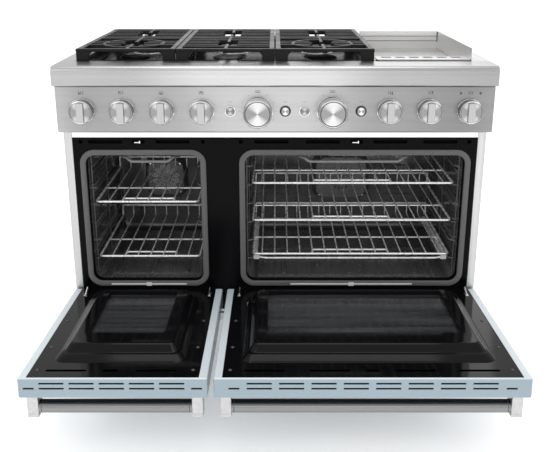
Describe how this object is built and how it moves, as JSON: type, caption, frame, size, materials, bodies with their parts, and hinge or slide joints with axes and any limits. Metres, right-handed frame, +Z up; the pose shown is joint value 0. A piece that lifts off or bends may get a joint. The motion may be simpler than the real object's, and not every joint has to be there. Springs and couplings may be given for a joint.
{
  "type": "freestanding gas range",
  "caption": "Freestanding commercial-style gas range with two drop-down ovens, cast-iron grates over open burners, a griddle and a front control panel.",
  "frame": {"origin": "on the floor, at the bottom centre of the whole range's box with both doors open", "axes": "+X to the cook's right, +Y towards the wall, +Z up"},
  "size_m": [1.216, 1.1422, 0.95],
  "materials": {
    "stainless": "horizontally brushed",
    "handle_steel": "fine satin",
    "griddle_steel": "ground cooking surface",
    "galvanised_steel": "dull zinc",
    "black_porcelain": "glossy porcelain enamel",
    "oven_enamel": "speckled grey porcelain enamel",
    "gasket": "woven, matte",
    "cast_iron": "matte black",
    "button_chrome": "polished rim, satin face",
    "rack_chrome": "bright",
    "blue_enamel": "misty blue, semi-gloss",
    "door_glass": "dark tinted",
    "fan_aluminium": "mill finish",
    "brass": "plain"
  },
  "bodies": {
    "range_body": {"side_panel_left": "stainless", "side_panel_right": "stainless", "back_panel": "galvanised_steel", "base_pan": "galvanised_steel", "front_frame": "black_porcelain", "control_panel": "stainless", "bullnose": "stainless", "cooktop_frame": "stainless", "burner_pan": "black_porcelain", "griddle_plate": "griddle_steel", "gas_inlet": "brass", "leg_front_left": "galvanised_steel", "leg_front_right": "galvanised_steel", "leg_rear_left": "galvanised_steel", "leg_rear_right": "galvanised_steel", "burner_left_front": "cast_iron", "burner_left_rear": "cast_iron", "burner_centre_front": "cast_iron", "burner_centre_rear": "cast_iron", "burner_right_front": "cast_iron", "burner_right_rear": "cast_iron", "oven_liner_left": "oven_enamel", "oven_liner_right": "oven_enamel", "oven_gasket_left": "gasket", "oven_gasket_right": "gasket", "fan_cover_left": "oven_enamel", "fan_cover_right": "oven_enamel", "glide_frame": "rack_chrome"},
    "door_left": {"door_skin_left": "blue_enamel", "door_inner_panel_left": "black_porcelain", "door_glass_left": "door_glass", "door_handle_left": "handle_steel"},
    "door_right": {"door_skin_right": "blue_enamel", "door_inner_panel_right": "black_porcelain", "door_glass_right": "door_glass", "door_handle_right": "handle_steel"},
    "burner_knob_1": {"burner_knob_1": "handle_steel"},
    "burner_knob_2": {"burner_knob_2": "handle_steel"},
    "burner_knob_3": {"burner_knob_3": "handle_steel"},
    "burner_knob_4": {"burner_knob_4": "handle_steel"},
    "button_1": {"button_1": "button_chrome"},
    "oven_knob_left": {"oven_knob_left": "handle_steel"},
    "button_2": {"button_2": "button_chrome"},
    "button_3": {"button_3": "button_chrome"},
    "oven_knob_right": {"oven_knob_right": "handle_steel"},
    "button_4": {"button_4": "button_chrome"},
    "burner_knob_5": {"burner_knob_5": "handle_steel"},
    "burner_knob_6": {"burner_knob_6": "handle_steel"},
    "griddle_knob": {"griddle_knob": "handle_steel"},
    "rack_left_lower": {"rack_left_lower": "rack_chrome"},
    "rack_left_upper": {"rack_left_upper": "rack_chrome"},
    "rack_right_upper": {"rack_right_upper": "rack_chrome"},
    "rack_right_middle": {"rack_right_middle": "rack_chrome"},
    "rack_right_glide": {"rack_right_glide": "rack_chrome"},
    "grate_left": {"grate_left": "cast_iron"},
    "grate_centre": {"grate_centre": "cast_iron"},
    "grate_right": {"grate_right": "cast_iron"},
    "grease_tray": {"grease_tray": "stainless"},
    "convection_fan_left": {"convection_fan_left": "fan_aluminium"},
    "convection_fan_right": {"convection_fan_right": "fan_aluminium"}
  },
  "joints": [
    {"name": "door_left_hinge", "type": "hinge", "parent": "range_body", "child": "door_left", "pos_m": [-0.38175, -0.06592, 0.213], "axis": [-1, 0, 0], "range_deg": [0, 87.2]},
    {"name": "door_right_hinge", "type": "hinge", "parent": "range_body", "child": "door_right", "pos_m": [0.23025, -0.06592, 0.213], "axis": [-1, 0, 0], "range_deg": [0, 87.2]},
    {"name": "burner_knob_1_turn", "type": "hinge", "parent": "range_body", "child": "burner_knob_1", "pos_m": [-0.533, -0.09392, 0.78825], "axis": [0, -1, 0], "range_deg": [0, 210]},
    {"name": "burner_knob_2_turn", "type": "hinge", "parent": "range_body", "child": "burner_knob_2", "pos_m": [-0.42289, -0.09392, 0.78825], "axis": [0, -1, 0], "range_deg": [0, 210]},
    {"name": "burner_knob_3_turn", "type": "hinge", "parent": "range_body", "child": "burner_knob_3", "pos_m": [-0.31278, -0.09392, 0.78825], "axis": [0, -1, 0], "range_deg": [0, 210]},
    {"name": "burner_knob_4_turn", "type": "hinge", "parent": "range_body", "child": "burner_knob_4", "pos_m": [-0.20267, -0.09392, 0.78825], "axis": [0, -1, 0], "range_deg": [0, 210]},
    {"name": "button_1_press", "type": "slide", "parent": "range_body", "child": "button_1", "axis": [0, 1, 0], "range_m": [0, 0.003], "stiffness_N_per_m": 300},
    {"name": "oven_knob_left_turn", "type": "hinge", "parent": "range_body", "child": "oven_knob_left", "pos_m": [-0.04754, -0.09392, 0.78825], "axis": [0, 1, 0], "range_deg": [0, 300]},
    {"name": "button_2_press", "type": "slide", "parent": "range_body", "child": "button_2", "axis": [0, 1, 0], "range_m": [0, 0.003], "stiffness_N_per_m": 300},
    {"name": "button_3_press", "type": "slide", "parent": "range_body", "child": "button_3", "axis": [0, 1, 0], "range_m": [0, 0.003], "stiffness_N_per_m": 300},
    {"name": "oven_knob_right_turn", "type": "hinge", "parent": "range_body", "child": "oven_knob_right", "pos_m": [0.15764, -0.09392, 0.78825], "axis": [0, 1, 0], "range_deg": [0, 300]},
    {"name": "button_4_press", "type": "slide", "parent": "range_body", "child": "button_4", "axis": [0, 1, 0], "range_m": [0, 0.003], "stiffness_N_per_m": 300},
    {"name": "burner_knob_5_turn", "type": "hinge", "parent": "range_body", "child": "burner_knob_5", "pos_m": [0.31678, -0.09392, 0.78825], "axis": [0, -1, 0], "range_deg": [0, 210]},
    {"name": "burner_knob_6_turn", "type": "hinge", "parent": "range_body", "child": "burner_knob_6", "pos_m": [0.42689, -0.09392, 0.78825], "axis": [0, -1, 0], "range_deg": [0, 210]},
    {"name": "griddle_knob_turn", "type": "hinge", "parent": "range_body", "child": "griddle_knob", "pos_m": [0.537, -0.09392, 0.78825], "axis": [0, -1, 0], "range_deg": [0, 210]},
    {"name": "rack_left_lower_slide", "type": "slide", "parent": "range_body", "child": "rack_left_lower", "axis": [0, 1, 0], "range_m": [-0.25, 0]},
    {"name": "rack_left_upper_slide", "type": "slide", "parent": "range_body", "child": "rack_left_upper", "axis": [0, 1, 0], "range_m": [-0.25, 0]},
    {"name": "rack_right_upper_slide", "type": "slide", "parent": "range_body", "child": "rack_right_upper", "axis": [0, 1, 0], "range_m": [-0.25, 0]},
    {"name": "rack_right_middle_slide", "type": "slide", "parent": "range_body", "child": "rack_right_middle", "axis": [0, 1, 0], "range_m": [-0.25, 0]},
    {"name": "rack_right_glide_slide", "type": "slide", "parent": "range_body", "child": "rack_right_glide", "axis": [0, 1, 0], "range_m": [-0.25, 0]},
    {"name": "grate_left_lift", "type": "slide", "parent": "range_body", "child": "grate_left", "axis": [0, 0, 1], "range_m": [0, 0.12]},
    {"name": "grate_centre_lift", "type": "slide", "parent": "range_body", "child": "grate_centre", "axis": [0, 0, 1], "range_m": [0, 0.12]},
    {"name": "grate_right_lift", "type": "slide", "parent": "range_body", "child": "grate_right", "axis": [0, 0, 1], "range_m": [0, 0.12]},
    {"name": "grease_tray_lift", "type": "slide", "parent": "range_body", "child": "grease_tray", "axis": [0, 0, 1], "range_m": [0, 0.06]},
    {"name": "convection_fan_left_spin", "type": "hinge", "parent": "range_body", "child": "convection_fan_left", "pos_m": [-0.3813, 0.38038, 0.45], "axis": [0, 1, 0], "continuous": true},
    {"name": "convection_fan_right_spin", "type": "hinge", "parent": "range_body", "child": "convection_fan_right", "pos_m": [0.23075, 0.38038, 0.45], "axis": [0, 1, 0], "continuous": true}
  ]
}
